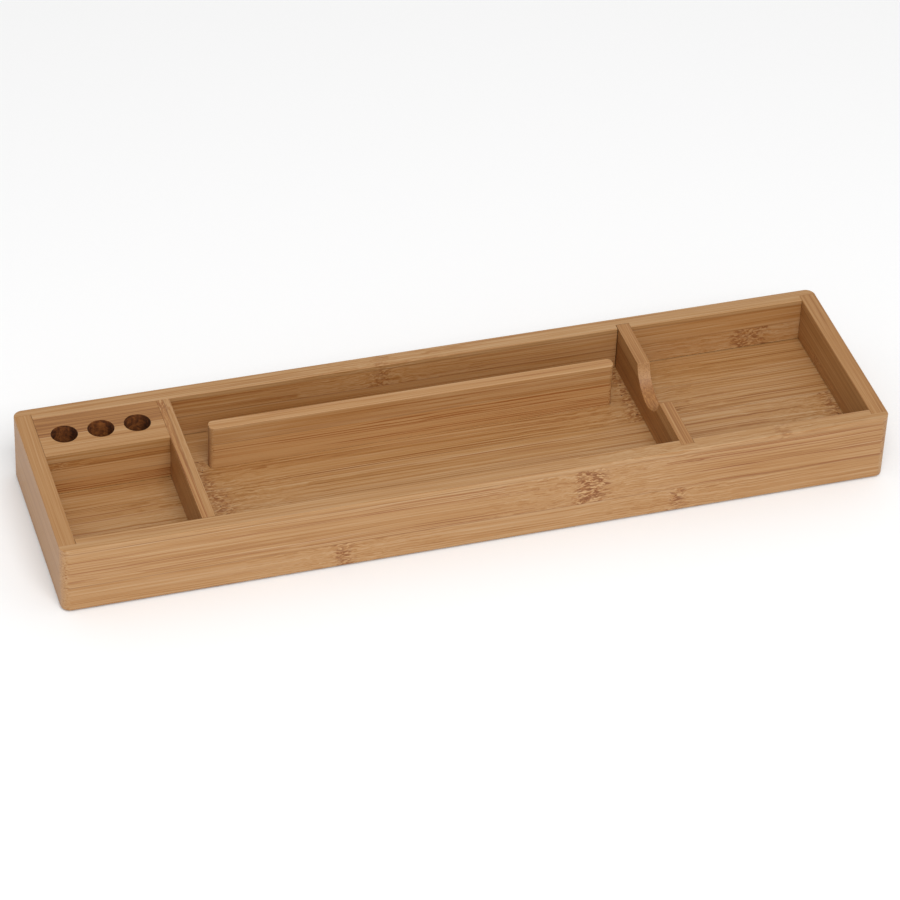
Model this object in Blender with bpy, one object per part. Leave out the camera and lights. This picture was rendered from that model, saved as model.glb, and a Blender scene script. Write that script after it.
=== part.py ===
"""Long bamboo desk organiser tray.

Four walls around a thin floor panel, two dividers, a drilled pen block and an
upright rail that a card or a phone leans on. Every board is its own solid.

Axes: X along the tray, Y from the front wall to the back wall, Z up from the
surface that the feet stand on. The origin is the centre of the footprint.
"""

import math

import bmesh
import bpy

# Overall size
LENGTH = 0.3800
DEPTH = 0.1000
FOOT_DROP = 0.0010
RIM_Z = 0.0344
JOINT_GAP = 0.0003

# Walls: the end walls sit in rabbets in the long walls
WALL_T = 0.0077
TONGUE_T = 0.0042
CORNER_R = 0.0042
CORNER_STEPS = 10

# Floor panel, held in a groove in all four walls
PANEL_TOP_Z = 0.0120
PANEL_T = 0.0060
GROOVE_FLOOR = 0.0043

# Dividers, measured from the left end of the tray
DIVIDER_T = 0.0060
LEFT_DIVIDER_X = 0.0638
RIGHT_DIVIDER_X = 0.2818
DADO_FLOOR = 0.0044

# Finger notch in the right divider
NOTCH_WIDTH = 0.0300
NOTCH_DEPTH = 0.0120
NOTCH_STEPS = 96

# Pen block in the back left corner
BLOCK_FRONT_Y = 0.0654
BLOCK_TOP_Z = 0.0342
PEN_HOLE_R = 0.0060
PEN_HOLE_DEPTH = 0.0190
PEN_HOLE_X = (0.0191, 0.0356, 0.0521)
PEN_HOLE_Y = 0.0791
PEN_HOLE_STEPS = 64

# Upright rail, let into a shallow slot in the floor panel
RAIL_X0 = 0.0820
RAIL_X1 = 0.2712
RAIL_Y0 = 0.0661
RAIL_T = 0.0060
RAIL_END_R = 0.0023
RAIL_END_STEPS = 8
RAIL_SLOT_DEPTH = 0.0025

# Rubber feet under the floor panel
FOOT_R = 0.0060
FOOT_CHAMFER = 0.0006
FOOT_INSET_X = 0.0240
FOOT_INSET_Y = 0.0200
FOOT_STEPS = 48

# Colours: base colour and roughness
COLOURS = {
    "bamboo_light": ((0.62, 0.42, 0.23, 1.0), 0.55),
    "bamboo_mid": ((0.55, 0.35, 0.17, 1.0), 0.55),
    "bamboo_dark": ((0.44, 0.26, 0.12, 1.0), 0.58),
    "rubber_clear": ((0.75, 0.74, 0.70, 1.0), 0.45),
}


def clear_scene():
    for obj in list(bpy.data.objects):
        bpy.data.objects.remove(obj, do_unlink=True)


def make_material(name):
    colour, roughness = COLOURS[name]
    material = bpy.data.materials.new(name)
    material.use_nodes = True
    shader = material.node_tree.nodes["Principled BSDF"]
    shader.inputs["Base Color"].default_value = colour
    shader.inputs["Roughness"].default_value = roughness
    material.diffuse_color = colour
    return material


def row_x(x):
    """Distance from the tray's left end to the X axis of the part."""
    return x - LENGTH / 2


def row_y(y):
    """Distance from the tray's front face to the Y axis of the part."""
    return y - DEPTH / 2


def arc(cx, cy, radius, start, end, steps):
    """Points of an arc in degrees, both ends included."""
    points = []
    for i in range(steps + 1):
        angle = math.radians(start + (end - start) * i / steps)
        points.append((cx + radius * math.cos(angle), cy + radius * math.sin(angle)))
    return points


def rectangle(x0, x1, y0, y1):
    return [(x0, y0), (x1, y0), (x1, y1), (x0, y1)]


def rounded_rectangle(x0, x1, y0, y1, radius, steps):
    points = arc(x0 + radius, y0 + radius, radius, 180, 270, steps)
    points += arc(x1 - radius, y0 + radius, radius, 270, 360, steps)
    points += arc(x1 - radius, y1 - radius, radius, 0, 90, steps)
    points += arc(x0 + radius, y1 - radius, radius, 90, 180, steps)
    return points


def add_mesh(name, bm, material_name):
    """Turn a bmesh into a named object with its own material."""
    bmesh.ops.recalc_face_normals(bm, faces=bm.faces)
    mesh = bpy.data.meshes.new(name)
    bm.to_mesh(mesh)
    bm.free()
    obj = bpy.data.objects.new(name, mesh)
    bpy.context.scene.collection.objects.link(obj)
    if material_name:
        base = make_material(material_name)
        base.name = name + "_" + material_name
        mesh.materials.append(base)
    return obj


def add_prism(name, outline, z0, z1, material_name=None):
    """Extrude a counter-clockwise plan outline from z0 to z1."""
    bm = bmesh.new()
    low = [bm.verts.new((x, y, z0)) for x, y in outline]
    high = [bm.verts.new((x, y, z1)) for x, y in outline]
    bm.faces.new(list(reversed(low)))
    bm.faces.new(high)
    count = len(outline)
    for i in range(count):
        j = (i + 1) % count
        bm.faces.new((low[i], low[j], high[j], high[i]))
    return add_mesh(name, bm, material_name)


def add_lathe(name, profile, steps, centre, material_name):
    """Turn a profile of (radius, z) pairs, closed at both ends on the axis."""
    bm = bmesh.new()
    rings = []
    for radius, z in profile:
        ring = []
        for i in range(steps):
            angle = 2 * math.pi * i / steps
            x = centre[0] + radius * math.cos(angle)
            y = centre[1] + radius * math.sin(angle)
            ring.append(bm.verts.new((x, y, z)))
        rings.append(ring)
    bm.faces.new(list(reversed(rings[0])))
    bm.faces.new(rings[-1])
    for lower, upper in zip(rings, rings[1:]):
        for i in range(steps):
            j = (i + 1) % steps
            face = bm.faces.new((lower[i], lower[j], upper[j], upper[i]))
            face.smooth = True
    return add_mesh(name, bm, material_name)


def add_cross_rod(name, radius, steps, y, z, x0, x1):
    """Round bar along X, used to cut the finger notch."""
    bm = bmesh.new()
    ends = []
    for x in (x0, x1):
        ring = []
        for i in range(steps):
            angle = 2 * math.pi * i / steps
            py = y + radius * math.cos(angle)
            pz = z + radius * math.sin(angle)
            ring.append(bm.verts.new((x, py, pz)))
        ends.append(ring)
    bm.faces.new(ends[0])
    bm.faces.new(ends[1])
    for i in range(steps):
        j = (i + 1) % steps
        bm.faces.new((ends[0][i], ends[0][j], ends[1][j], ends[1][i]))
    return add_mesh(name, bm, None)


def cut(target, cutter):
    """Subtract a cutter, which stays hidden in the scene."""
    cutter.hide_render = True
    cutter.display_type = "WIRE"
    modifier = target.modifiers.new("cut_" + cutter.name, "BOOLEAN")
    modifier.operation = "DIFFERENCE"
    modifier.solver = "EXACT"
    modifier.object = cutter


def add_long_wall(name, side):
    """Front wall for side -1 and back wall for side +1.

    The plan is drawn for the front wall, with a rounded tongue at each end,
    and is mirrored for the back wall.
    """
    shoulder = WALL_T + JOINT_GAP
    outline = [(shoulder, WALL_T), (shoulder, TONGUE_T)]
    outline += arc(CORNER_R, CORNER_R, CORNER_R, 180, 270, CORNER_STEPS)
    outline += arc(LENGTH - CORNER_R, CORNER_R, CORNER_R, 270, 360, CORNER_STEPS)
    outline += [(LENGTH - shoulder, TONGUE_T), (LENGTH - shoulder, WALL_T)]
    plan = [(row_x(x), row_y(y)) for x, y in outline]
    if side > 0:
        plan = [(x, -y) for x, y in reversed(plan)]
    wall = add_prism(name, plan, FOOT_DROP, RIM_Z, "bamboo_mid")

    over = 0.0020
    z0 = PANEL_TOP_Z - PANEL_T - JOINT_GAP
    z1 = PANEL_TOP_Z + JOINT_GAP
    y_floor = DEPTH / 2 - GROOVE_FLOOR
    y_open = DEPTH / 2 - WALL_T - over
    low, high = sorted((side * y_floor, side * y_open))
    end = LENGTH / 2 - shoulder + JOINT_GAP
    groove = add_prism(name + "_groove", rectangle(-end, end, low, high), z0, z1)
    cut(wall, groove)

    y_floor = DEPTH / 2 - DADO_FLOOR
    low, high = sorted((side * y_floor, side * y_open))
    x0 = row_x(RIGHT_DIVIDER_X) - JOINT_GAP
    x1 = row_x(RIGHT_DIVIDER_X + DIVIDER_T) + JOINT_GAP
    dado = add_prism(name + "_dado", rectangle(x0, x1, low, high), PANEL_TOP_Z, RIM_Z + over)
    cut(wall, dado)
    return wall


def add_end_wall(name, side):
    """Left wall for side -1 and right wall for side +1."""
    outer = side * LENGTH / 2
    inner = side * (LENGTH / 2 - WALL_T)
    low, high = sorted((outer, inner))
    y_end = DEPTH / 2 - TONGUE_T - JOINT_GAP
    wall = add_prism(name, rectangle(low, high, -y_end, y_end), FOOT_DROP, RIM_Z, "bamboo_light")

    over = 0.0020
    z0 = PANEL_TOP_Z - PANEL_T - JOINT_GAP
    z1 = PANEL_TOP_Z + JOINT_GAP
    x_floor = side * (LENGTH / 2 - GROOVE_FLOOR)
    x_open = inner - side * over
    low, high = sorted((x_floor, x_open))
    groove = add_prism(name + "_groove", rectangle(low, high, -y_end - over, y_end + over), z0, z1)
    cut(wall, groove)
    return wall


def rail_plan(grow):
    """Plan of the rail, grown outwards for the slot that holds it."""
    x0 = row_x(RAIL_X0) - grow
    x1 = row_x(RAIL_X1) + grow
    y0 = row_y(RAIL_Y0) - grow
    y1 = row_y(RAIL_Y0 + RAIL_T) + grow
    return rounded_rectangle(x0, x1, y0, y1, RAIL_END_R + grow, RAIL_END_STEPS)


def add_bottom_panel():
    """Thin floor panel with the shallow slot for the rail."""
    x_end = LENGTH / 2 - GROOVE_FLOOR - JOINT_GAP
    y_end = DEPTH / 2 - GROOVE_FLOOR - JOINT_GAP
    plan = rectangle(-x_end, x_end, -y_end, y_end)
    panel = add_prism("bottom_panel", plan, PANEL_TOP_Z - PANEL_T, PANEL_TOP_Z, "bamboo_light")
    slot_z = PANEL_TOP_Z - RAIL_SLOT_DEPTH
    slot = add_prism("rail_slot", rail_plan(JOINT_GAP), slot_z, PANEL_TOP_Z + 0.0020)
    cut(panel, slot)
    return panel


def add_left_divider():
    """Plain board glued between the long walls, beside the pen block."""
    x0 = row_x(LEFT_DIVIDER_X)
    y_end = DEPTH / 2 - WALL_T - JOINT_GAP
    plan = rectangle(x0, x0 + DIVIDER_T, -y_end, y_end)
    return add_prism("left_divider", plan, PANEL_TOP_Z + JOINT_GAP, RIM_Z, "bamboo_dark")


def add_right_divider():
    """Board let into dados in the long walls, with a round finger notch."""
    x0 = row_x(RIGHT_DIVIDER_X)
    x1 = x0 + DIVIDER_T
    y_end = DEPTH / 2 - DADO_FLOOR - JOINT_GAP
    plan = rectangle(x0, x1, -y_end, y_end)
    board = add_prism("right_divider", plan, PANEL_TOP_Z + JOINT_GAP, RIM_Z, "bamboo_mid")
    half = NOTCH_WIDTH / 2
    radius = (half * half + NOTCH_DEPTH * NOTCH_DEPTH) / (2 * NOTCH_DEPTH)
    centre_z = RIM_Z - NOTCH_DEPTH + radius
    over = 0.0020
    rod = add_cross_rod("finger_notch", radius, NOTCH_STEPS, 0.0, centre_z, x0 - over, x1 + over)
    cut(board, rod)
    return board


def add_pen_block():
    """Laminated block with a row of blind pen holes."""
    x0 = row_x(WALL_T + JOINT_GAP)
    x1 = row_x(LEFT_DIVIDER_X - JOINT_GAP)
    y0 = row_y(BLOCK_FRONT_Y)
    y1 = row_y(DEPTH - WALL_T - JOINT_GAP)
    plan = rectangle(x0, x1, y0, y1)
    block = add_prism("pen_block", plan, PANEL_TOP_Z + JOINT_GAP, BLOCK_TOP_Z, "bamboo_light")
    for number, x in enumerate(PEN_HOLE_X, start=1):
        circle = arc(row_x(x), row_y(PEN_HOLE_Y), PEN_HOLE_R, 0, 360, PEN_HOLE_STEPS)[:-1]
        name = "pen_hole_%d" % number
        drill = add_prism(name, circle, BLOCK_TOP_Z - PEN_HOLE_DEPTH, BLOCK_TOP_Z + 0.0020)
        cut(block, drill)
    return block


def add_rail():
    """Upright rail that a card or a phone leans on."""
    z0 = PANEL_TOP_Z - RAIL_SLOT_DEPTH + JOINT_GAP
    return add_prism("upright_rail", rail_plan(0.0), z0, RIM_Z, "bamboo_mid")


def add_feet():
    """Four rubber feet stuck under the floor panel."""
    top = PANEL_TOP_Z - PANEL_T - JOINT_GAP
    profile = [(FOOT_R - FOOT_CHAMFER, 0.0), (FOOT_R, FOOT_CHAMFER), (FOOT_R, top)]
    x = LENGTH / 2 - FOOT_INSET_X
    y = DEPTH / 2 - FOOT_INSET_Y
    for end, sx in (("left", -1), ("right", 1)):
        for side, sy in (("front", -1), ("back", 1)):
            name = "foot_%s_%s" % (side, end)
            add_lathe(name, profile, FOOT_STEPS, (sx * x, sy * y), "rubber_clear")


def build():
    clear_scene()
    add_long_wall("front_wall", -1)
    add_long_wall("back_wall", 1)
    add_end_wall("left_end_wall", -1)
    add_end_wall("right_end_wall", 1)
    add_bottom_panel()
    add_left_divider()
    add_right_divider()
    add_pen_block()
    add_rail()
    add_feet()


build()
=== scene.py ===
"""Looks of the bamboo desk tray: boards with eased edges, bamboo materials, camera and studio."""

import math

import bmesh
import bpy
from mathutils import Matrix, Vector


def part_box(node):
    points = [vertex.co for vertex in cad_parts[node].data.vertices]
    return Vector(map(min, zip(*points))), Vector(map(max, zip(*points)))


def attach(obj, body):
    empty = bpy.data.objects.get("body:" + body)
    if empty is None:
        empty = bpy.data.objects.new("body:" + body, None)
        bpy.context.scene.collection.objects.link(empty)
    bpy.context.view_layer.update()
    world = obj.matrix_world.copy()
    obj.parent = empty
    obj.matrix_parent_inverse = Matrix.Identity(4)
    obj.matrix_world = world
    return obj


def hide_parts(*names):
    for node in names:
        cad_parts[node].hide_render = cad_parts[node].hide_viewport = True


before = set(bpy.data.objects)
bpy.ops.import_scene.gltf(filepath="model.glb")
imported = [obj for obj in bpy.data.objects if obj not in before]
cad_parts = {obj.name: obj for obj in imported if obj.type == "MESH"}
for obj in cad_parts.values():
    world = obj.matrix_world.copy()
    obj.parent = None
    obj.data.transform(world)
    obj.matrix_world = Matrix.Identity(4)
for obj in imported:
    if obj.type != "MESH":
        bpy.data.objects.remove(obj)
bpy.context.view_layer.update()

# Sizes in millimetres, from the front left bottom corner of the walls: X right, Y back, Z up.
LENGTH = 380.0
DEPTH = 100.0
FOOT_DROP = 1.0                     # the feet reach this far below the walls
RIM = 33.4
WALL_T = 7.7
TONGUE_T = 4.2                      # what the rabbets leave of the long walls
CORNER_R = 4.2
GROOVE = 4.3                        # outer face to the bottom of the floor's groove
FLOOR_TOP = 11.0
FLOOR_T = 6.0
DIVIDER_T = 6.0
LEFT_DIVIDER = 63.8                 # left faces of the dividers
RIGHT_DIVIDER = 281.8
NOTCH_R = 15.375
NOTCH_DEPTH = 12.0
RAIL = (82.0, 271.2, 66.1, 72.1)    # x0, x1, y0, y1
RAIL_END_R = 2.3
RAIL_FOOT = 2.2                     # how deep the rail stands in its slot
RAIL_SLOT = 2.5
BLOCK_TOP = 33.2
BLOCK_FRONT = 65.4
HOLES = ((19.1, 79.1), (35.6, 79.1), (52.1, 79.1))
HOLE_R = 6.0
HOLE_DEPTH = 19.0
FOOT_EDGE = 1.6                     # height of a foot's rounded edge
FOOT_FLAT = 0.72                    # flat share of a foot's radius

# What neighbouring boards keep between them
GLUE = 0.03                         # at a glued joint
LOOSE = 0.25                        # under the floor in its groove
FLOOR_GAP = 0.32                    # over the floor, the dark line round it
DADO_GAP = 0.08                     # beside the right divider
DADO_GAP_BACK = 0.30                # on its left at the back, the widest gap
DIVIDER_LIFT = 0.15                 # under the dividers
BLOCK_LIFT = 0.20                   # under the pen block

PAST = 2.0                          # how far a cutter runs past the board

# Radii of the eased edges
SHARP = 0.08
SOFT = 0.30
RIM_EDGE = 0.45
FOOT_OF_WALL = 0.40

WOOD_TINT = (0.785, 0.758, 0.650)   # what is left of each colour by wood()
FIBRE_X, FIBRE_Y = 0, 1             # axes for bamboo()
STACK_X, STACK_Y, STACK_Z = 0, 1, 2


def row(x, y, z):
    """Corner millimetres to row metres."""
    return Vector(((x - LENGTH / 2) / 1000, (y - DEPTH / 2) / 1000, (z + FOOT_DROP) / 1000))


def corner(v):
    """Row metres to corner millimetres."""
    return v.x * 1000 + LENGTH / 2, v.y * 1000 + DEPTH / 2, v.z * 1000 - FOOT_DROP


def from_hole(x, y):
    """Distance to the axis of the nearest pen hole."""
    return min(math.hypot(x - hx, y - hy) for hx, hy in HOLES)


# ---------------------------------------------------------------- shapes
def arc(cx, cy, r, a0, a1, n):
    """Points from angle a0 to a1, in degrees, in n steps."""
    out = []
    for i in range(n + 1):
        a = math.radians(a0 + (a1 - a0) * i / n)
        out.append((cx + r * math.cos(a), cy + r * math.sin(a)))
    return out


def rect(x0, x1, y0, y1):
    return [(x0, y0), (x1, y0), (x1, y1), (x0, y1)]


def new_object(name, bm):
    """Turn a bmesh into an object of the scene."""
    bmesh.ops.recalc_face_normals(bm, faces=bm.faces)
    mesh = bpy.data.meshes.new(name)
    bm.to_mesh(mesh)
    bm.free()
    obj = bpy.data.objects.new(name, mesh)
    bpy.context.scene.collection.objects.link(obj)
    return obj


def prism(name, outline, z0, z1):
    """Plan outline in corner millimetres, extruded upwards."""
    bm = bmesh.new()
    low = [bm.verts.new(row(x, y, z0)) for x, y in outline]
    high = [bm.verts.new(row(x, y, z1)) for x, y in outline]
    bm.faces.new(list(reversed(low)))
    bm.faces.new(high)
    for i in range(len(outline)):
        j = (i + 1) % len(outline)
        bm.faces.new((low[i], low[j], high[j], high[i]))
    return new_object(name, bm)


def cross_rod(name, y, z, r, x0, x1, n):
    """Round bar along X."""
    bm = bmesh.new()
    circle = arc(y, z, r, 0, 360, n)[:-1]
    ends = [[bm.verts.new(row(x, py, pz)) for py, pz in circle] for x in (x0, x1)]
    bm.faces.new(ends[0])
    bm.faces.new(ends[1])
    for i in range(n):
        j = (i + 1) % n
        bm.faces.new((ends[0][i], ends[0][j], ends[1][j], ends[1][i]))
    return new_object(name, bm)


def baked(obj):
    """Apply the modifiers of an object to its mesh."""
    graph = bpy.context.evaluated_depsgraph_get()
    mesh = bpy.data.meshes.new_from_object(obj.evaluated_get(graph))
    old = obj.data
    obj.modifiers.clear()
    obj.data = mesh
    bpy.data.meshes.remove(old)


def carve(obj, *cutters):
    """Cut the cutters out of an object, and remove them."""
    for cutter in cutters:
        mod = obj.modifiers.new("carve", "BOOLEAN")
        mod.operation = "DIFFERENCE"
        mod.solver = "EXACT"
        mod.object = cutter
    baked(obj)
    for cutter in cutters:
        bpy.data.objects.remove(cutter, do_unlink=True)


def ease(obj, rule):
    """Round each sharp edge by the millimetres that rule(x, y, z, direction) gives."""
    sharp = math.radians(28)
    sliver = 4e-6
    bm = bmesh.new()
    bm.from_mesh(obj.data)
    bmesh.ops.dissolve_limit(bm, angle_limit=0.002, verts=bm.verts, edges=bm.edges)
    layer = bm.edges.layers.float.new("bevel_weight_edge")
    for edge in bm.edges:
        if len(edge.link_faces) != 2 or edge.calc_face_angle(0) < sharp:
            continue
        a, b = edge.verts[0].co, edge.verts[1].co
        x, y, z = corner((a + b) / 2)
        edge[layer] = rule(x, y, z, (b - a).normalized())
    bm.to_mesh(obj.data)
    bm.free()
    mod = obj.modifiers.new("ease", "BEVEL")
    mod.limit_method = "WEIGHT"
    mod.width = 1.0 / 1000          # times the edge's weight
    mod.segments = 3
    mod.use_clamp_overlap = True
    baked(obj)
    bm = bmesh.new()
    bm.from_mesh(obj.data)
    bmesh.ops.remove_doubles(bm, verts=bm.verts, dist=sliver)
    bmesh.ops.dissolve_degenerate(bm, edges=bm.edges, dist=sliver)
    bm.to_mesh(obj.data)
    bm.free()
    obj.data.shade_smooth()
    mod = obj.modifiers.new("normals", "WEIGHTED_NORMAL")
    mod.keep_sharp = False
    mod.weight = 100
    baked(obj)


def long_wall(name, back):
    """Front or back wall: rabbeted ends, a groove for the floor and a dado for the right divider."""
    shoulder = WALL_T + GLUE
    plan = [(shoulder, WALL_T), (shoulder, TONGUE_T)]
    plan += arc(CORNER_R, CORNER_R, CORNER_R, 180, 270, 16)
    plan += arc(LENGTH - CORNER_R, CORNER_R, CORNER_R, 270, 360, 16)
    plan += [(LENGTH - shoulder, TONGUE_T), (LENGTH - shoulder, WALL_T)]
    groove = rect(shoulder - 0.2, LENGTH - shoulder + 0.2, GROOVE, WALL_T + PAST)
    dado_left = RIGHT_DIVIDER - (DADO_GAP_BACK if back else DADO_GAP)
    dado_right = RIGHT_DIVIDER + DIVIDER_T + DADO_GAP
    dado = rect(dado_left, dado_right, GROOVE + 0.1, WALL_T + PAST)

    def place(outline):
        """The outline as it is for the front wall, mirrored for the back wall."""
        return [(x, DEPTH - y) for x, y in reversed(outline)] if back else outline

    obj = prism(name, place(plan), 0.0, RIM)
    carve(
        obj,
        prism("groove_cut", place(groove), FLOOR_TOP - FLOOR_T - LOOSE, FLOOR_TOP + FLOOR_GAP),
        prism("dado_cut", place(dado), FLOOR_TOP, RIM + PAST),
    )

    def rule(x, y, z, d):
        y = DEPTH - y if back else y
        if abs(d.z) > 0.9:
            return 0.12
        if z > RIM - 0.1:
            at_end = x < shoulder + 0.1 or x > LENGTH - shoulder - 0.1
            if y > TONGUE_T - 0.1 and at_end:
                return 0.06
            if RIGHT_DIVIDER - 1 < x < RIGHT_DIVIDER + DIVIDER_T + 1:
                return 0.10
            return RIM_EDGE
        return FOOT_OF_WALL if z < 0.1 else 0.10

    ease(obj, rule)
    return obj


def end_wall(name, right):
    """Short wall, let into the rabbets of the long walls, with a groove for the floor."""
    x0, x1 = (LENGTH - WALL_T, LENGTH) if right else (0.0, WALL_T)
    g0, g1 = (LENGTH - WALL_T - PAST, LENGTH - GROOVE) if right else (GROOVE, WALL_T + PAST)
    obj = prism(name, rect(x0, x1, TONGUE_T + GLUE, DEPTH - TONGUE_T - GLUE), 0.0, RIM)
    groove = rect(g0, g1, 0, DEPTH)
    carve(obj, prism("groove_cut", groove, FLOOR_TOP - FLOOR_T - LOOSE, FLOOR_TOP + FLOOR_GAP))

    def rule(x, y, z, d):
        if abs(d.y) > 0.9 and z > RIM - 0.1:
            return RIM_EDGE
        if abs(d.y) > 0.9 and z < 0.1:
            return FOOT_OF_WALL
        return SHARP

    ease(obj, rule)
    return obj


def rail_plan(grow):
    """Plan of the rail with its round ends, grown on all sides."""
    x0, x1, y0, y1 = RAIL
    x0, x1, y0, y1 = x0 - grow, x1 + grow, y0 - grow, y1 + grow
    r = RAIL_END_R + grow
    centres = ((x0 + r, y0 + r, 180), (x1 - r, y0 + r, 270), (x1 - r, y1 - r, 0), (x0 + r, y1 - r, 90))
    return [point for cx, cy, start in centres for point in arc(cx, cy, r, start, start + 90, 12)]


def floor_panel(name):
    """Floor in the walls' grooves, with a slot for the rail."""
    edge = GROOVE + 0.3
    obj = prism(name, rect(edge, LENGTH - edge, edge, DEPTH - edge), FLOOR_TOP - FLOOR_T, FLOOR_TOP)
    carve(obj, prism("slot_cut", rail_plan(0.1), FLOOR_TOP - RAIL_SLOT, FLOOR_TOP + PAST))
    ease(obj, lambda x, y, z, d: 0.1)
    return obj


def left_divider(name):
    """Thin board, butted between the long walls."""
    y0 = WALL_T + GLUE
    plan = rect(LEFT_DIVIDER, LEFT_DIVIDER + DIVIDER_T, y0, DEPTH - y0)
    obj = prism(name, plan, FLOOR_TOP + DIVIDER_LIFT, RIM)
    ease(obj, lambda x, y, z, d: SOFT if z > RIM - 0.1 and abs(d.y) > 0.9 else SHARP)
    return obj


def right_divider(name):
    """Thin board in the dados, with a round finger notch."""
    y0 = GROOVE + 0.4
    x0, x1 = RIGHT_DIVIDER, RIGHT_DIVIDER + DIVIDER_T
    obj = prism(name, rect(x0, x1, y0, DEPTH - y0), FLOOR_TOP + DIVIDER_LIFT, RIM)
    centre = RIM - NOTCH_DEPTH + NOTCH_R
    carve(obj, cross_rod("notch_cut", DEPTH / 2, centre, NOTCH_R, x0 - PAST, x1 + PAST, 160))
    ease(obj, lambda x, y, z, d: SOFT if z > FLOOR_TOP + 5 else SHARP)
    return obj


def pen_block(name):
    """Laminated block with three blind holes."""
    plan = rect(WALL_T + GLUE, LEFT_DIVIDER - GLUE, BLOCK_FRONT, DEPTH - WALL_T - GLUE)
    obj = prism(name, plan, FLOOR_TOP + BLOCK_LIFT, BLOCK_TOP)
    circles = [arc(x, y, HOLE_R, 0, 360, 96)[:-1] for x, y in HOLES]
    carve(obj, *[prism("drill_cut", circle, BLOCK_TOP - HOLE_DEPTH, BLOCK_TOP + PAST) for circle in circles])

    def rule(x, y, z, d):
        if z < BLOCK_TOP - 0.1:
            return SHARP
        if from_hole(x, y) < HOLE_R + 0.3:
            return 0.2
        return SOFT if y < BLOCK_FRONT + 0.1 else SHARP

    ease(obj, rule)
    return obj


def upright_rail(name):
    """Thin board with round ends, standing in the floor's slot."""
    obj = prism(name, rail_plan(0.0), FLOOR_TOP - RAIL_FOOT, RIM)
    ease(obj, lambda x, y, z, d: SOFT if z > RIM - 0.1 else 0.1)
    return obj


def build_boards():
    """Every wooden piece, by the CAD node that it replaces."""
    return {
        "front_wall": long_wall("front_board", back=False),
        "back_wall": long_wall("back_board", back=True),
        "left_end_wall": end_wall("left_end_board", right=False),
        "right_end_wall": end_wall("right_end_board", right=True),
        "bottom_panel": floor_panel("floor_board"),
        "left_divider": left_divider("left_divider_board"),
        "right_divider": right_divider("right_divider_board"),
        "pen_block": pen_block("pen_block_board"),
        "upright_rail": upright_rail("rail_board"),
    }


def build_feet():
    """Rubber feet with a rounded lower edge, as pairs of object and CAD node."""
    feet = []
    for node in ("foot_front_left", "foot_back_left", "foot_front_right", "foot_back_right"):
        low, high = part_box(node)
        middle = (low + high) / 2
        obj = turned(node + "_pad", middle.x, middle.y, foot_profile((high.x - low.x) / 2, high.z), 64)
        obj.data.shade_smooth()
        obj.data.set_sharp_from_angle(angle=math.radians(40))
        feet.append((obj, node))
    return feet


def foot_profile(r, top):
    """Radius and height pairs in metres, from the middle of the sole to the middle of the top."""
    flat, edge = r * FOOT_FLAT, FOOT_EDGE / 1000
    profile = [(0.0, 0.0), (flat, 0.0)]
    for i in range(1, 7):
        a = math.radians(90 * i / 6)
        profile.append((flat + (r - flat) * math.sin(a), edge - edge * math.cos(a)))
    return profile + [(r, top), (0.0, top)]


def turned(name, cx, cy, profile, steps):
    """Closed body of revolution about an upright axis, from a profile that starts and ends on it."""
    bm = bmesh.new()
    rings = []
    for r, z in profile:
        turns = [2 * math.pi * i / steps for i in range(steps if r else 1)]
        rings.append([bm.verts.new((cx + r * math.cos(a), cy + r * math.sin(a), z)) for a in turns])
    for low, high in zip(rings, rings[1:]):
        for i in range(steps):
            j = (i + 1) % steps
            if len(low) == 1:
                bm.faces.new((low[0], high[j], high[i]))
            elif len(high) == 1:
                bm.faces.new((low[i], low[j], high[0]))
            else:
                bm.faces.new((low[i], low[j], high[j], high[i]))
    return new_object(name, bm)


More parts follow.
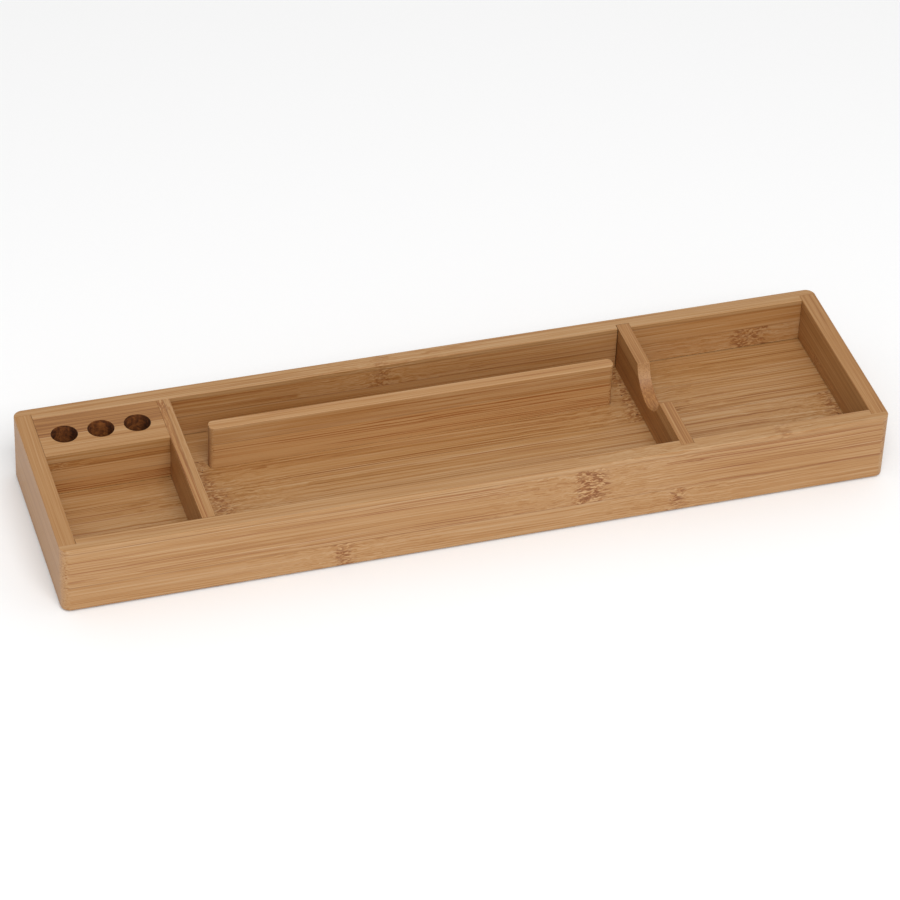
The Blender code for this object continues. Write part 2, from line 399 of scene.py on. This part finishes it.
# ---------------------------------------------------------------- materials
class Nodes:
    """Short names for the nodes of one tree."""

    def __init__(self, tree):
        self.tree = tree

    def put(self, socket, value):
        """Link an output to a socket, or set the socket's value."""
        if hasattr(value, "is_output"):
            self.tree.links.new(value, socket)
        elif value is not None:
            socket.default_value = value

    def math(self, op, a, b=None):
        n = self.tree.nodes.new("ShaderNodeMath")
        n.operation = op
        for socket, value in zip(n.inputs, (a, b)):
            self.put(socket, value)
        return n.outputs[0]

    def add(self, a, b):
        return self.math("ADD", a, b)

    def mul(self, a, b):
        return self.math("MULTIPLY", a, b)

    def gate(self, v, low, high):
        """1 where v is between low and high, 0 elsewhere."""
        return self.mul(self.math("GREATER_THAN", v, low), self.math("LESS_THAN", v, high))

    def gap(self, v, place):
        """Distance between v and a fixed place."""
        return self.math("ABSOLUTE", self.add(v, -place))

    def combine(self, x, y, z):
        n = self.tree.nodes.new("ShaderNodeCombineXYZ")
        for socket, value in zip(n.inputs, (x, y, z)):
            self.put(socket, value)
        return n.outputs[0]

    def separate(self, v):
        n = self.tree.nodes.new("ShaderNodeSeparateXYZ")
        self.put(n.inputs[0], v)
        return n.outputs

    def noise(self, v, detail=2.0, rough=0.55, distortion=0.0, colour=False):
        n = self.tree.nodes.new("ShaderNodeTexNoise")
        self.put(n.inputs["Vector"], v)
        n.inputs["Scale"].default_value = 1.0
        n.inputs["Detail"].default_value = detail
        n.inputs["Roughness"].default_value = rough
        n.inputs["Distortion"].default_value = distortion
        return n.outputs["Color"] if colour else n.outputs["Fac"]

    def span(self, v, a, b, c=0.0, d=1.0, smooth=True):
        """Goes from c to d as v goes from a to b."""
        n = self.tree.nodes.new("ShaderNodeMapRange")
        n.interpolation_type = "SMOOTHSTEP" if smooth else "LINEAR"
        ends = (("Value", v), ("From Min", a), ("From Max", b), ("To Min", c), ("To Max", d))
        for key, value in ends:
            self.put(n.inputs[key], value)
        return n.outputs[0]

    def ramp(self, fac, stops):
        n = self.tree.nodes.new("ShaderNodeValToRGB")
        self.put(n.inputs[0], fac)
        e = n.color_ramp.elements
        while len(e) < len(stops):
            e.new(0.5)
        for item, (pos, rgb) in zip(e, stops):
            item.position = pos
            item.color = (*rgb, 1)
        return n.outputs[0]

    def mix(self, fac, a, b, blend="MIX"):
        n = self.tree.nodes.new("ShaderNodeMix")
        n.data_type = "RGBA"
        n.blend_type = blend
        self.put(n.inputs["Factor"], fac)
        self.put(n.inputs[6], a)
        self.put(n.inputs[7], b)
        return n.outputs[2]


def srgb(r, g, b):
    """Linear colour of an sRGB colour, 0 to 255."""
    return tuple(((c / 255 + 0.055) / 1.055) ** 2.4 for c in (r, g, b))


def wood(r, g, b):
    """Bamboo colour, as it is without the light that boards throw on each other."""
    r, g, b = srgb(r, g, b)
    return (r * WOOD_TINT[0], g * WOOD_TINT[1], b * WOOD_TINT[2])


def new_material(name):
    """An empty material, with its shader, its node helper and its object coordinates."""
    mat = bpy.data.materials.new(name)
    mat.use_nodes = True
    coord = mat.node_tree.nodes.new("ShaderNodeTexCoord")
    return mat, mat.node_tree.nodes["Principled BSDF"], Nodes(mat.node_tree), coord


def bumped(n, shader, height, strength, distance):
    """Put a small relief on a shader."""
    bump = n.tree.nodes.new("ShaderNodeBump")
    bump.inputs["Strength"].default_value = strength
    bump.inputs["Distance"].default_value = distance
    n.put(bump.inputs["Height"], height)
    n.put(shader.inputs["Normal"], bump.outputs["Normal"])


def swayed(n, place, near):
    """Let the fibres wander a little everywhere, and swirl beside a node.

    Returns the moved place and the quick noise that moved it.
    """
    g, a, t = place
    slow_at = n.combine(n.mul(g, 1 / 45), n.mul(a, 1 / 22), n.mul(t, 1 / 22))
    slow = n.separate(n.noise(slow_at, 1.0, 0.5, colour=True))
    quick_at = n.combine(n.mul(g, 1 / 8), n.mul(a, 1 / 6), n.mul(t, 1 / 6))
    quick = n.separate(n.noise(quick_at, 2.0, 0.5, colour=True))
    by_slow = n.add(1.0, n.mul(near, 4.0))
    by_quick = n.add(0.12, n.mul(near, 3.6))
    by_length = n.add(1.0, n.mul(near, 30.0))

    def moved(v, noise, amount):
        return n.add(v, n.mul(n.add(noise, -0.5), amount))

    a = moved(moved(a, slow[0], by_slow), quick[0], by_quick)
    t = moved(moved(t, slow[1], by_slow), quick[1], by_quick)
    return (moved(g, quick[2], by_length), a, t), quick


def node_flecks(n, place, quick, knot, colour):
    """A bamboo node: short dark curved flecks with pale wood between. Returns colour and flecks."""
    sway = 5.0
    g, a, t = (n.add(v, n.mul(n.add(quick[i], -0.5), sway)) for v, i in zip(place, (2, 1, 0)))
    fleck_at = n.combine(n.mul(g, 1 / 2.6), n.mul(a, 1 / 0.85), n.mul(t, 1 / 0.85))
    fleck = n.noise(fleck_at, 2.0, 0.5, 0.3)
    clump_at = n.combine(n.mul(g, 1 / 4.5), n.mul(a, 1 / 3.0), n.add(n.mul(t, 1 / 3.0), 13.0))
    clump = n.noise(clump_at, 1.0, 0.5)
    dark = n.mul(n.mul(n.span(fleck, 0.46, 0.56), n.span(clump, 0.30, 0.56, 0.25, 1.0)), knot)
    pale = n.mul(n.mul(n.span(fleck, 0.45, 0.36), knot), 0.70)
    patch = n.mul(knot, n.add(0.20, n.mul(n.span(clump, 0.48, 0.66), 0.50)))
    colour = n.mix(patch, colour, (*wood(172, 112, 58), 1))
    colour = n.mix(pale, colour, (*wood(216, 178, 136), 1))
    return n.mix(n.mul(dark, 0.78), colour, (*wood(128, 70, 27), 1)), dark


def scar_pits(n, place, knot, amount):
    """Pits where sheath scars were planed away."""
    g, a, t = place
    cells = n.tree.nodes.new("ShaderNodeTexVoronoi")
    n.put(cells.inputs["Vector"], n.combine(n.mul(g, 1 / 2.6), n.mul(a, 1 / 2.2), n.mul(t, 1 / 2.2)))
    cells.inputs["Scale"].default_value = 1.0
    rare = n.math("GREATER_THAN", n.separate(cells.outputs["Color"])[0], 0.45)
    spot = n.mul(n.span(cells.outputs["Distance"], 0.20, 0.10), rare)
    return n.mul(spot, n.mul(n.span(knot, 0.55, 0.9), amount))


def bamboo_group():
    """Solid bamboo. Place is in millimetres: X along the fibres, Y across the strips, Z through them."""
    tree = bpy.data.node_groups.new("bamboo", "ShaderNodeTree")
    face = tree.interface
    face.new_socket("Place", in_out="INPUT", socket_type="NodeSocketVector")
    for name, value in (
        ("Strip", 0.0), ("Near", 0.0), ("Knot", 0.0), ("Seam", 9.0), ("Tone", 0.0), ("WarmAndBounce", 0.0),
        ("End", 0.0), ("Stripes", 0.5), ("Pits", 0.0), ("Contrast", 1.0),
    ):
        face.new_socket(name, in_out="INPUT", socket_type="NodeSocketFloat").default_value = value
    face.new_socket("Color", in_out="OUTPUT", socket_type="NodeSocketColor")
    face.new_socket("Roughness", in_out="OUTPUT", socket_type="NodeSocketFloat")
    face.new_socket("Height", in_out="OUTPUT", socket_type="NodeSocketFloat")
    n = Nodes(tree)
    given = tree.nodes.new("NodeGroupInput").outputs
    result = tree.nodes.new("NodeGroupOutput").inputs

    # Each strip is cut from another place in the noise
    near, knot, end = given["Near"], given["Knot"], given["End"]
    g, a, t = n.separate(given["Place"])
    g = n.add(g, n.mul(given["Strip"], 337.0))
    a = n.add(a, n.mul(given["Strip"], 61.0))
    (g2, a2, t2), quick = swayed(n, (g, a, t), near)

    def fibres(length, width, detail, rough, shift):
        v = n.combine(n.add(n.mul(g2, 1 / length), shift), n.mul(a2, 1 / width), n.mul(t2, 1 / width))
        return n.noise(v, detail, rough)

    fine = fibres(60.0, 0.30, 2.0, 0.6, 3.1)
    line = fibres(120.0, 0.62, 2.0, 0.6, 17.3)
    band = fibres(190.0, 2.3, 2.0, 0.55, 29.9)
    wide = fibres(240.0, 8.0, 1.0, 0.5, 41.2)
    value = n.mul(n.add(fine, -0.5), 0.65)
    for part, share in ((line, 1.10), (band, 0.46), (wide, 0.30)):
        value = n.add(value, n.mul(n.add(part, -0.5), share))

    # Wavy figure beside a node
    figure = n.noise(n.combine(n.mul(g2, 1 / 7), n.mul(a2, 1 / 1.3), n.mul(t2, 1 / 1.3)), 2.0, 0.55)
    value = n.add(value, n.mul(n.mul(n.add(figure, -0.5), near), 0.85))
    value = n.add(n.mul(value, given["Contrast"]), n.add(0.5, given["Tone"]))
    colour = n.ramp(value, (
        (0.05, wood(146, 96, 48)), (0.34, wood(179, 129, 78)), (0.52, wood(192, 147, 101)),
        (0.68, wood(199, 158, 118)), (0.92, wood(209, 175, 141)),
    ))

    # Long thin darker fibres, gathered in some places
    pin = fibres(170.0, 0.55, 1.0, 0.5, 57.7)
    gather = fibres(200.0, 3.6, 1.0, 0.5, 71.9)
    stripes = n.mul(n.span(pin, 0.50, 0.66), n.span(gather, 0.36, 0.60))
    stripes = n.mul(stripes, n.mul(given["Stripes"], n.span(near, 0.0, 0.8, 1.0, 0.25)))
    colour = n.mix(stripes, colour, (0.66, 0.46, 0.30, 1), "MULTIPLY")

    # Warmer colour per strip: partly the strips' own colour, partly painted warm bounce light, most on the
    # lower strips of the boards inside the tray
    warm_and_bounce = n.mix(given["WarmAndBounce"], (1, 1, 1, 1), (1.0, 0.86, 0.66, 1))
    colour = n.mix(1.0, colour, warm_and_bounce, "MULTIPLY")

    colour, dark = node_flecks(n, (g, a, t), quick, knot, colour)
    pits = scar_pits(n, (g, a, t), knot, given["Pits"])
    colour = n.mix(pits, colour, (*wood(60, 34, 20), 1))

    # Glue line between strips
    broken = n.noise(n.combine(n.mul(g, 1 / 30), 4.0, n.mul(a, 0.05)), 1.0)
    strength = n.add(0.12, n.mul(n.span(broken, 0.3, 0.65), 0.42))
    glue = n.mul(n.span(given["Seam"], 0.40, 0.0), strength)
    colour = n.mix(glue, colour, (*wood(122, 74, 40), 1))

    # End grain: bundles seen end on
    bundle = n.noise(n.combine(n.mul(g, 0.05), n.mul(a, 1 / 0.55), n.mul(t, 1 / 0.55)), 1.0, 0.5)
    dots = n.mul(n.span(bundle, 0.50, 0.66), end)
    colour = n.mix(n.mul(end, 0.60), colour, (*wood(204, 158, 116), 1))
    colour = n.mix(n.mul(dots, 0.38), colour, (*wood(126, 78, 44), 1))

    rough = n.add(n.mul(n.add(fine, -0.5), 0.16), n.mul(dark, 0.14))
    height = n.add(n.mul(fine, 0.5), n.mul(line, 0.5))
    for part, depth in ((dark, -0.9), (n.add(glue, pits), -0.8), (dots, -0.6)):
        height = n.add(height, n.mul(part, depth))
    n.put(result["Color"], colour)
    n.put(result["Roughness"], n.add(0.47, rough))
    n.put(result["Height"], height)
    return tree


def bamboo(name, group, fibre, stack, seams=(), knots=(), tones=(0.0,), warms_and_bounce=(0.0,), seed=0.0,
           stripes=(0.6,), pits=0.0, contrast=1.0, back_part=None, drift=None):
    """Bamboo of one board.

    fibre and stack are the axes, 0 to 2, along the fibres and across the strips.
    seams are places on the stack axis, in corner millimetres. Each knot is
    (place along the fibres, strip, half width, strength, swirl beside it).
    tones, warms and stripes have a value for each strip, and the last one goes on; the warms are partly the
    strips' own colour and partly painted warm bounce light.
    back_part is (place, tone, warm, stripes) of a second piece glued on behind.
    drift is (from, to, strip, tone, stripes), a slow change along one strip.
    """
    mat, shader, n, coord = new_material(name)
    row_place = n.separate(coord.outputs["Object"])
    offsets = (LENGTH / 2, DEPTH / 2, -FOOT_DROP)
    mm = [n.add(n.mul(axis, 1000.0), offset) for axis, offset in zip(row_place, offsets)]
    g, a, t = mm[fibre], mm[stack], mm[3 - fibre - stack]
    edges = (-1e3, *seams, 1e3)

    strip, seam = 0.0, 9.0
    for place in seams:
        strip = n.add(n.math("GREATER_THAN", a, place), strip)
        seam = n.math("MINIMUM", n.gap(a, place), seam)

    def pick(values):
        """The value of the strip a point is in."""
        values = tuple(values) + (values[-1],) * (len(seams) + 1 - len(values))
        out = values[0]
        for place, low, high in zip(seams, values, values[1:]):
            if high != low:
                out = n.add(n.mul(n.math("GREATER_THAN", a, place), high - low), out)
        return out

    # Knots have a ragged outline
    ragged = n.noise(n.combine(n.mul(g, 1 / 14), n.mul(a, 1 / 1.1), n.mul(t, 1 / 1.1)), 2.0, 0.6)
    ragged = n.mul(n.add(ragged, -0.52), 13.0)
    near, knot = 0.0, 0.0
    for place, index, half, strength, swirl in knots:
        inside = n.gate(a, edges[index], edges[index + 1])
        away = n.gap(g, place)
        body = n.mul(n.span(n.add(away, ragged), half + 1.8, half - 2.2), inside)
        knot = n.math("MAXIMUM", n.mul(body, strength), knot)
        ring = n.math("POWER", n.span(away, half + 62.0, half, smooth=False), 1.6)
        near = n.math("MAXIMUM", n.mul(n.mul(ring, inside), swirl), near)

    tone, warm_and_bounce, stripe = pick(tones), pick(warms_and_bounce), pick(stripes)
    if back_part:
        place, more_tone, more_warm_and_bounce, more_stripes = back_part
        behind = n.math("GREATER_THAN", t, place)
        tone = n.add(n.mul(behind, more_tone), tone)
        warm_and_bounce = n.add(n.mul(behind, more_warm_and_bounce), warm_and_bounce)
        stripe = n.add(n.mul(behind, more_stripes), stripe)
        strip = n.add(n.mul(behind, 7.0), strip)
        seam = n.math("MINIMUM", seam, n.gap(t, place))
    if drift:
        start, stop, index, more_tone, more_stripes = drift
        along = n.mul(n.span(g, start, stop), n.gate(a, edges[index], edges[index + 1]))
        tone = n.add(n.mul(along, more_tone), tone)
        stripe = n.add(n.mul(along, more_stripes), stripe)

    # The seed takes each board from another place in the noise
    use = n.tree.nodes.new("ShaderNodeGroup")
    use.node_tree = group
    facing = n.separate(coord.outputs["Normal"])[fibre]
    for key, value in (
        ("Place", n.combine(n.add(g, seed * 911.0), n.add(a, seed * 137.0), n.add(t, seed * 53.0))),
        ("Strip", strip), ("Near", near), ("Knot", knot), ("Seam", seam), ("Tone", tone),
        ("WarmAndBounce", warm_and_bounce), ("Stripes", stripe), ("Pits", pits), ("Contrast", contrast),
        ("End", n.span(n.math("ABSOLUTE", facing), 0.55, 0.9)),
    ):
        n.put(use.inputs[key], value)
    n.put(shader.inputs["Base Color"], use.outputs["Color"])
    n.put(shader.inputs["Roughness"], use.outputs["Roughness"])
    bumped(n, shader, use.outputs["Height"], 0.35, 0.00012)
    shader.inputs["IOR"].default_value = 1.48
    return mat


def rubber():
    """Pale rubber of the feet."""
    mat, shader, n, coord = new_material("foot_rubber_look")
    rgb = (0.62, 0.60, 0.55)
    dark = tuple(c * 0.92 for c in rgb)
    x, y, z = n.separate(coord.outputs["Object"])
    speck = n.noise(n.combine(n.mul(x, 900), n.mul(y, 900), n.mul(z, 900)), 2.0)
    n.put(shader.inputs["Base Color"], n.mix(speck, (*dark, 1), (*rgb, 1)))
    n.put(shader.inputs["Roughness"], n.span(speck, 0.3, 0.7, 0.45, 0.55))
    return mat


def scorched_and_shaded():
    """Walls of the drilled holes: dark brown, partly drill char and partly painted shade of the deep holes,
    darkest where the drill crossed the fibre ends.
    """
    mat, shader, n, coord = new_material("drilled_bamboo")
    x, y, z = n.separate(coord.outputs["Object"])
    fibre = n.noise(n.combine(n.mul(x, 150), n.mul(y, 800), n.mul(z, 800)), 3.0, 0.6, 0.6)
    blotch = n.noise(n.combine(n.mul(x, 420), n.mul(y, 420), n.mul(z, 360)), 3.0, 0.65, 1.2)
    scratch = n.noise(n.combine(n.mul(x, 700), n.mul(y, 700), n.mul(z, 160)), 2.0, 0.6, 0.8)
    char_and_shade = n.add(n.mul(fibre, 0.36), n.add(n.mul(blotch, 0.62), n.mul(scratch, 0.20)))
    end = n.math("ABSOLUTE", n.separate(coord.outputs["Normal"])[0])
    char_and_shade = n.add(char_and_shade, n.mul(n.span(end, 0.35, 0.95), -0.14))

    # The middle hole is a little lighter than the other two
    off_middle = n.gap(n.mul(x, 1000.0), HOLES[1][0] - LENGTH / 2)
    char_and_shade = n.add(char_and_shade, n.span(off_middle, 7.0, 9.0, 0.01, -0.04))
    colour = n.ramp(char_and_shade, (
        (0.38, srgb(60, 28, 9)), (0.56, srgb(106, 57, 22)), (0.76, srgb(158, 95, 42)),
    ))
    n.put(shader.inputs["Base Color"], colour)
    shader.inputs["Roughness"].default_value = 0.6
    bumped(n, shader, n.add(fibre, scratch), 0.4, 0.0002)
    return mat


# Knots, seams and tones are placed as on the photographed tray; see bamboo() for what each value is. The
# warms are partly painted warm bounce light, given to the boards seen inside the tray and most to their
# lower strips.
LOOKS = {
    "front_wall": dict(
        fibre=FIBRE_X, stack=STACK_Z, seed=1.0, seams=(12.4, 31.0),
        tones=(0.02, 0.03, 0.03), stripes=(0.25, 0.9, 0.5), contrast=0.88,
        knots=((239.0, 1, 6.8, 1.0, 1.0), (125.6, 0, 3.6, 0.85, 0.9), (280.5, 0, 3.2, 0.85, 0.8),
               (263.0, 2, 4.0, 0.0, 0.6), (329.0, 2, 2.4, 0.35, 0.4)),
        drift=(270.0, 320.0, 1, -0.09, 0.4),
    ),
    "back_wall": dict(
        fibre=FIBRE_X, stack=STACK_Z, seed=2.0, seams=(21.7, 31.0),
        tones=(0.10, 0.07, 0.03), warms_and_bounce=(0.42, 0.50, 0.0), stripes=(0.6, 0.6, 0.3),
        knots=((167.5, 1, 4.8, 0.65, 0.8), (347.0, 0, 8.5, 0.75, 1.0), (168.5, 2, 2.6, 0.35, 0.5)),
    ),
    "left_end_wall": dict(
        fibre=FIBRE_Y, stack=STACK_Z, seed=3.0, seams=(17.5,),
        tones=(-0.09,), stripes=(0.15,), contrast=0.5,
    ),
    "right_end_wall": dict(
        fibre=FIBRE_Y, stack=STACK_Z, seed=4.0, seams=(17.0,),
        tones=(-0.18, -0.17), warms_and_bounce=(0.35, 0.08), stripes=(0.3,), contrast=0.7,
        knots=((70.0, 0, 3.5, 0.5, 0.5),),
    ),
    "bottom_panel": dict(
        fibre=FIBRE_X, stack=STACK_Y, seed=5.0, seams=(9.6, 30.5, 51.3, 72.1, 92.8),
        tones=(0.0, 0.0, 0.0, -0.04, -0.03), stripes=(0.75,), pits=1.0, contrast=1.08,
        knots=((81.2, 2, 3.8, 0.8, 0.8), (369.5, 2, 3.5, 0.8, 0.8), (78.2, 3, 1.8, 0.85, 0.6),
               (279.5, 3, 2.6, 0.85, 0.6), (279.0, 4, 2.6, 0.85, 0.6)),
    ),
    "left_divider": dict(
        fibre=FIBRE_Y, stack=STACK_X, seed=6.0, seams=(66.7,),
        tones=(-0.14, -0.02), warms_and_bounce=(0.32, 0.0), stripes=(1.0, 0.15), contrast=0.8,
        knots=((87.0, 0, 5.0, 0.6, 0.4), (86.0, 1, 2.5, 0.4, 0.3)),
    ),
    "right_divider": dict(
        fibre=FIBRE_Y, stack=STACK_Z, seed=7.0, seams=(26.5,),
        tones=(-0.27, -0.13), warms_and_bounce=(0.55, 0.15), stripes=(0.5,), contrast=0.8,
    ),
    "pen_block": dict(
        fibre=FIBRE_X, stack=STACK_Z, seed=8.0, seams=(18.6, 24.8, 28.6),
        tones=(0.08, 0.24, -0.08, 0.0), warms_and_bounce=(0.80, 0.85, 0.60, 0.14), stripes=(2.0, 0.3, 0.9, 0.1),
        knots=((14.0, 2, 3.5, 0.5, 0.4),), back_part=(78.8, -0.33, 0.12, 1.8),
    ),
    "upright_rail": dict(
        fibre=FIBRE_X, stack=STACK_Z, seed=9.0, seams=(24.2,),
        tones=(0.34, 0.10), warms_and_bounce=(1.0, 0.45), stripes=(1.7, 0.8),
    ),
}


def paint(boards):
    """Give each board its own bamboo, and the pen holes their dark walls, partly drill char and partly
    painted shade.
    """
    group = bamboo_group()
    for node, look in LOOKS.items():
        boards[node].data.materials.clear()
        boards[node].data.materials.append(bamboo(node + "_bamboo", group, **look))
    block = boards["pen_block"].data
    block.materials.append(scorched_and_shaded())
    # The hole walls get the dark material: partly drill char, partly painted shade of the deep holes
    for face in block.polygons:
        x, y, z = corner(face.center)
        if from_hole(x, y) < HOLE_R + 0.02 and z < BLOCK_TOP - 0.25:
            face.material_index = 1


# ---------------------------------------------------------------- studio
def studio():
    """Pale floor, even light from all round and one large soft light."""
    bm = bmesh.new()
    bmesh.ops.create_grid(bm, x_segments=1, y_segments=1, size=6.0)
    floor = new_object("studio_floor", bm)
    mat = bpy.data.materials.new("studio_floor_look")
    mat.use_nodes = True
    shader = mat.node_tree.nodes["Principled BSDF"]
    shader.inputs["Base Color"].default_value = (0.93, 0.93, 0.93, 1)
    shader.inputs["Roughness"].default_value = 0.9
    floor.data.materials.append(mat)

    world = bpy.data.worlds.new("studio")
    world.use_nodes = True
    sky = world.node_tree.nodes["Background"]
    sky.inputs["Color"].default_value = (1.0, 1.0, 1.0, 1)
    sky.inputs["Strength"].default_value = 0.68
    bpy.context.scene.world = world

    light = bpy.data.lights.new("key", "AREA")
    light.energy = 27.0
    light.size = 1.2
    key = bpy.data.objects.new("key", light)
    key.location = (-0.12, -1.3, 1.65)
    key.rotation_mode = "QUATERNION"
    key.rotation_quaternion = (-key.location).to_track_quat("-Z", "Y")
    bpy.context.scene.collection.objects.link(key)


def camera():
    """The view that the tray is shown from, from the front left, solved from its straight edges."""
    turn, rise, roll = math.radians(18.4601), math.radians(38.735), math.radians(2.6437)
    target = row(194.11, 65.61, 0.0)
    distance = 1.7962
    across = Vector((math.cos(turn), -math.sin(turn), 0))
    upward = Vector((math.sin(turn) * math.sin(rise), math.cos(turn) * math.sin(rise), math.cos(rise)))
    back = across.cross(upward)
    right = across * math.cos(roll) + upward * math.sin(roll)
    up = upward * math.cos(roll) - across * math.sin(roll)
    data = bpy.data.cameras.new("camera")
    data.lens = 157.99
    data.sensor_width = 36.0
    data.clip_start = 0.05
    data.clip_end = 50.0
    cam = bpy.data.objects.new("camera", data)
    turned_to = Matrix((right, up, back)).transposed().to_4x4()
    cam.matrix_world = Matrix.Translation(target + back * distance) @ turned_to
    bpy.context.scene.collection.objects.link(cam)
    bpy.context.scene.camera = cam


boards = build_boards()
paint(boards)
for node, piece in boards.items():
    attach(piece, "root")
    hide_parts(node)
foot_look = rubber()
for piece, node in build_feet():
    piece.data.materials.append(foot_look)
    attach(piece, "root")
    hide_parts(node)
studio()
camera()
bpy.context.scene.view_settings.view_transform = "Standard"
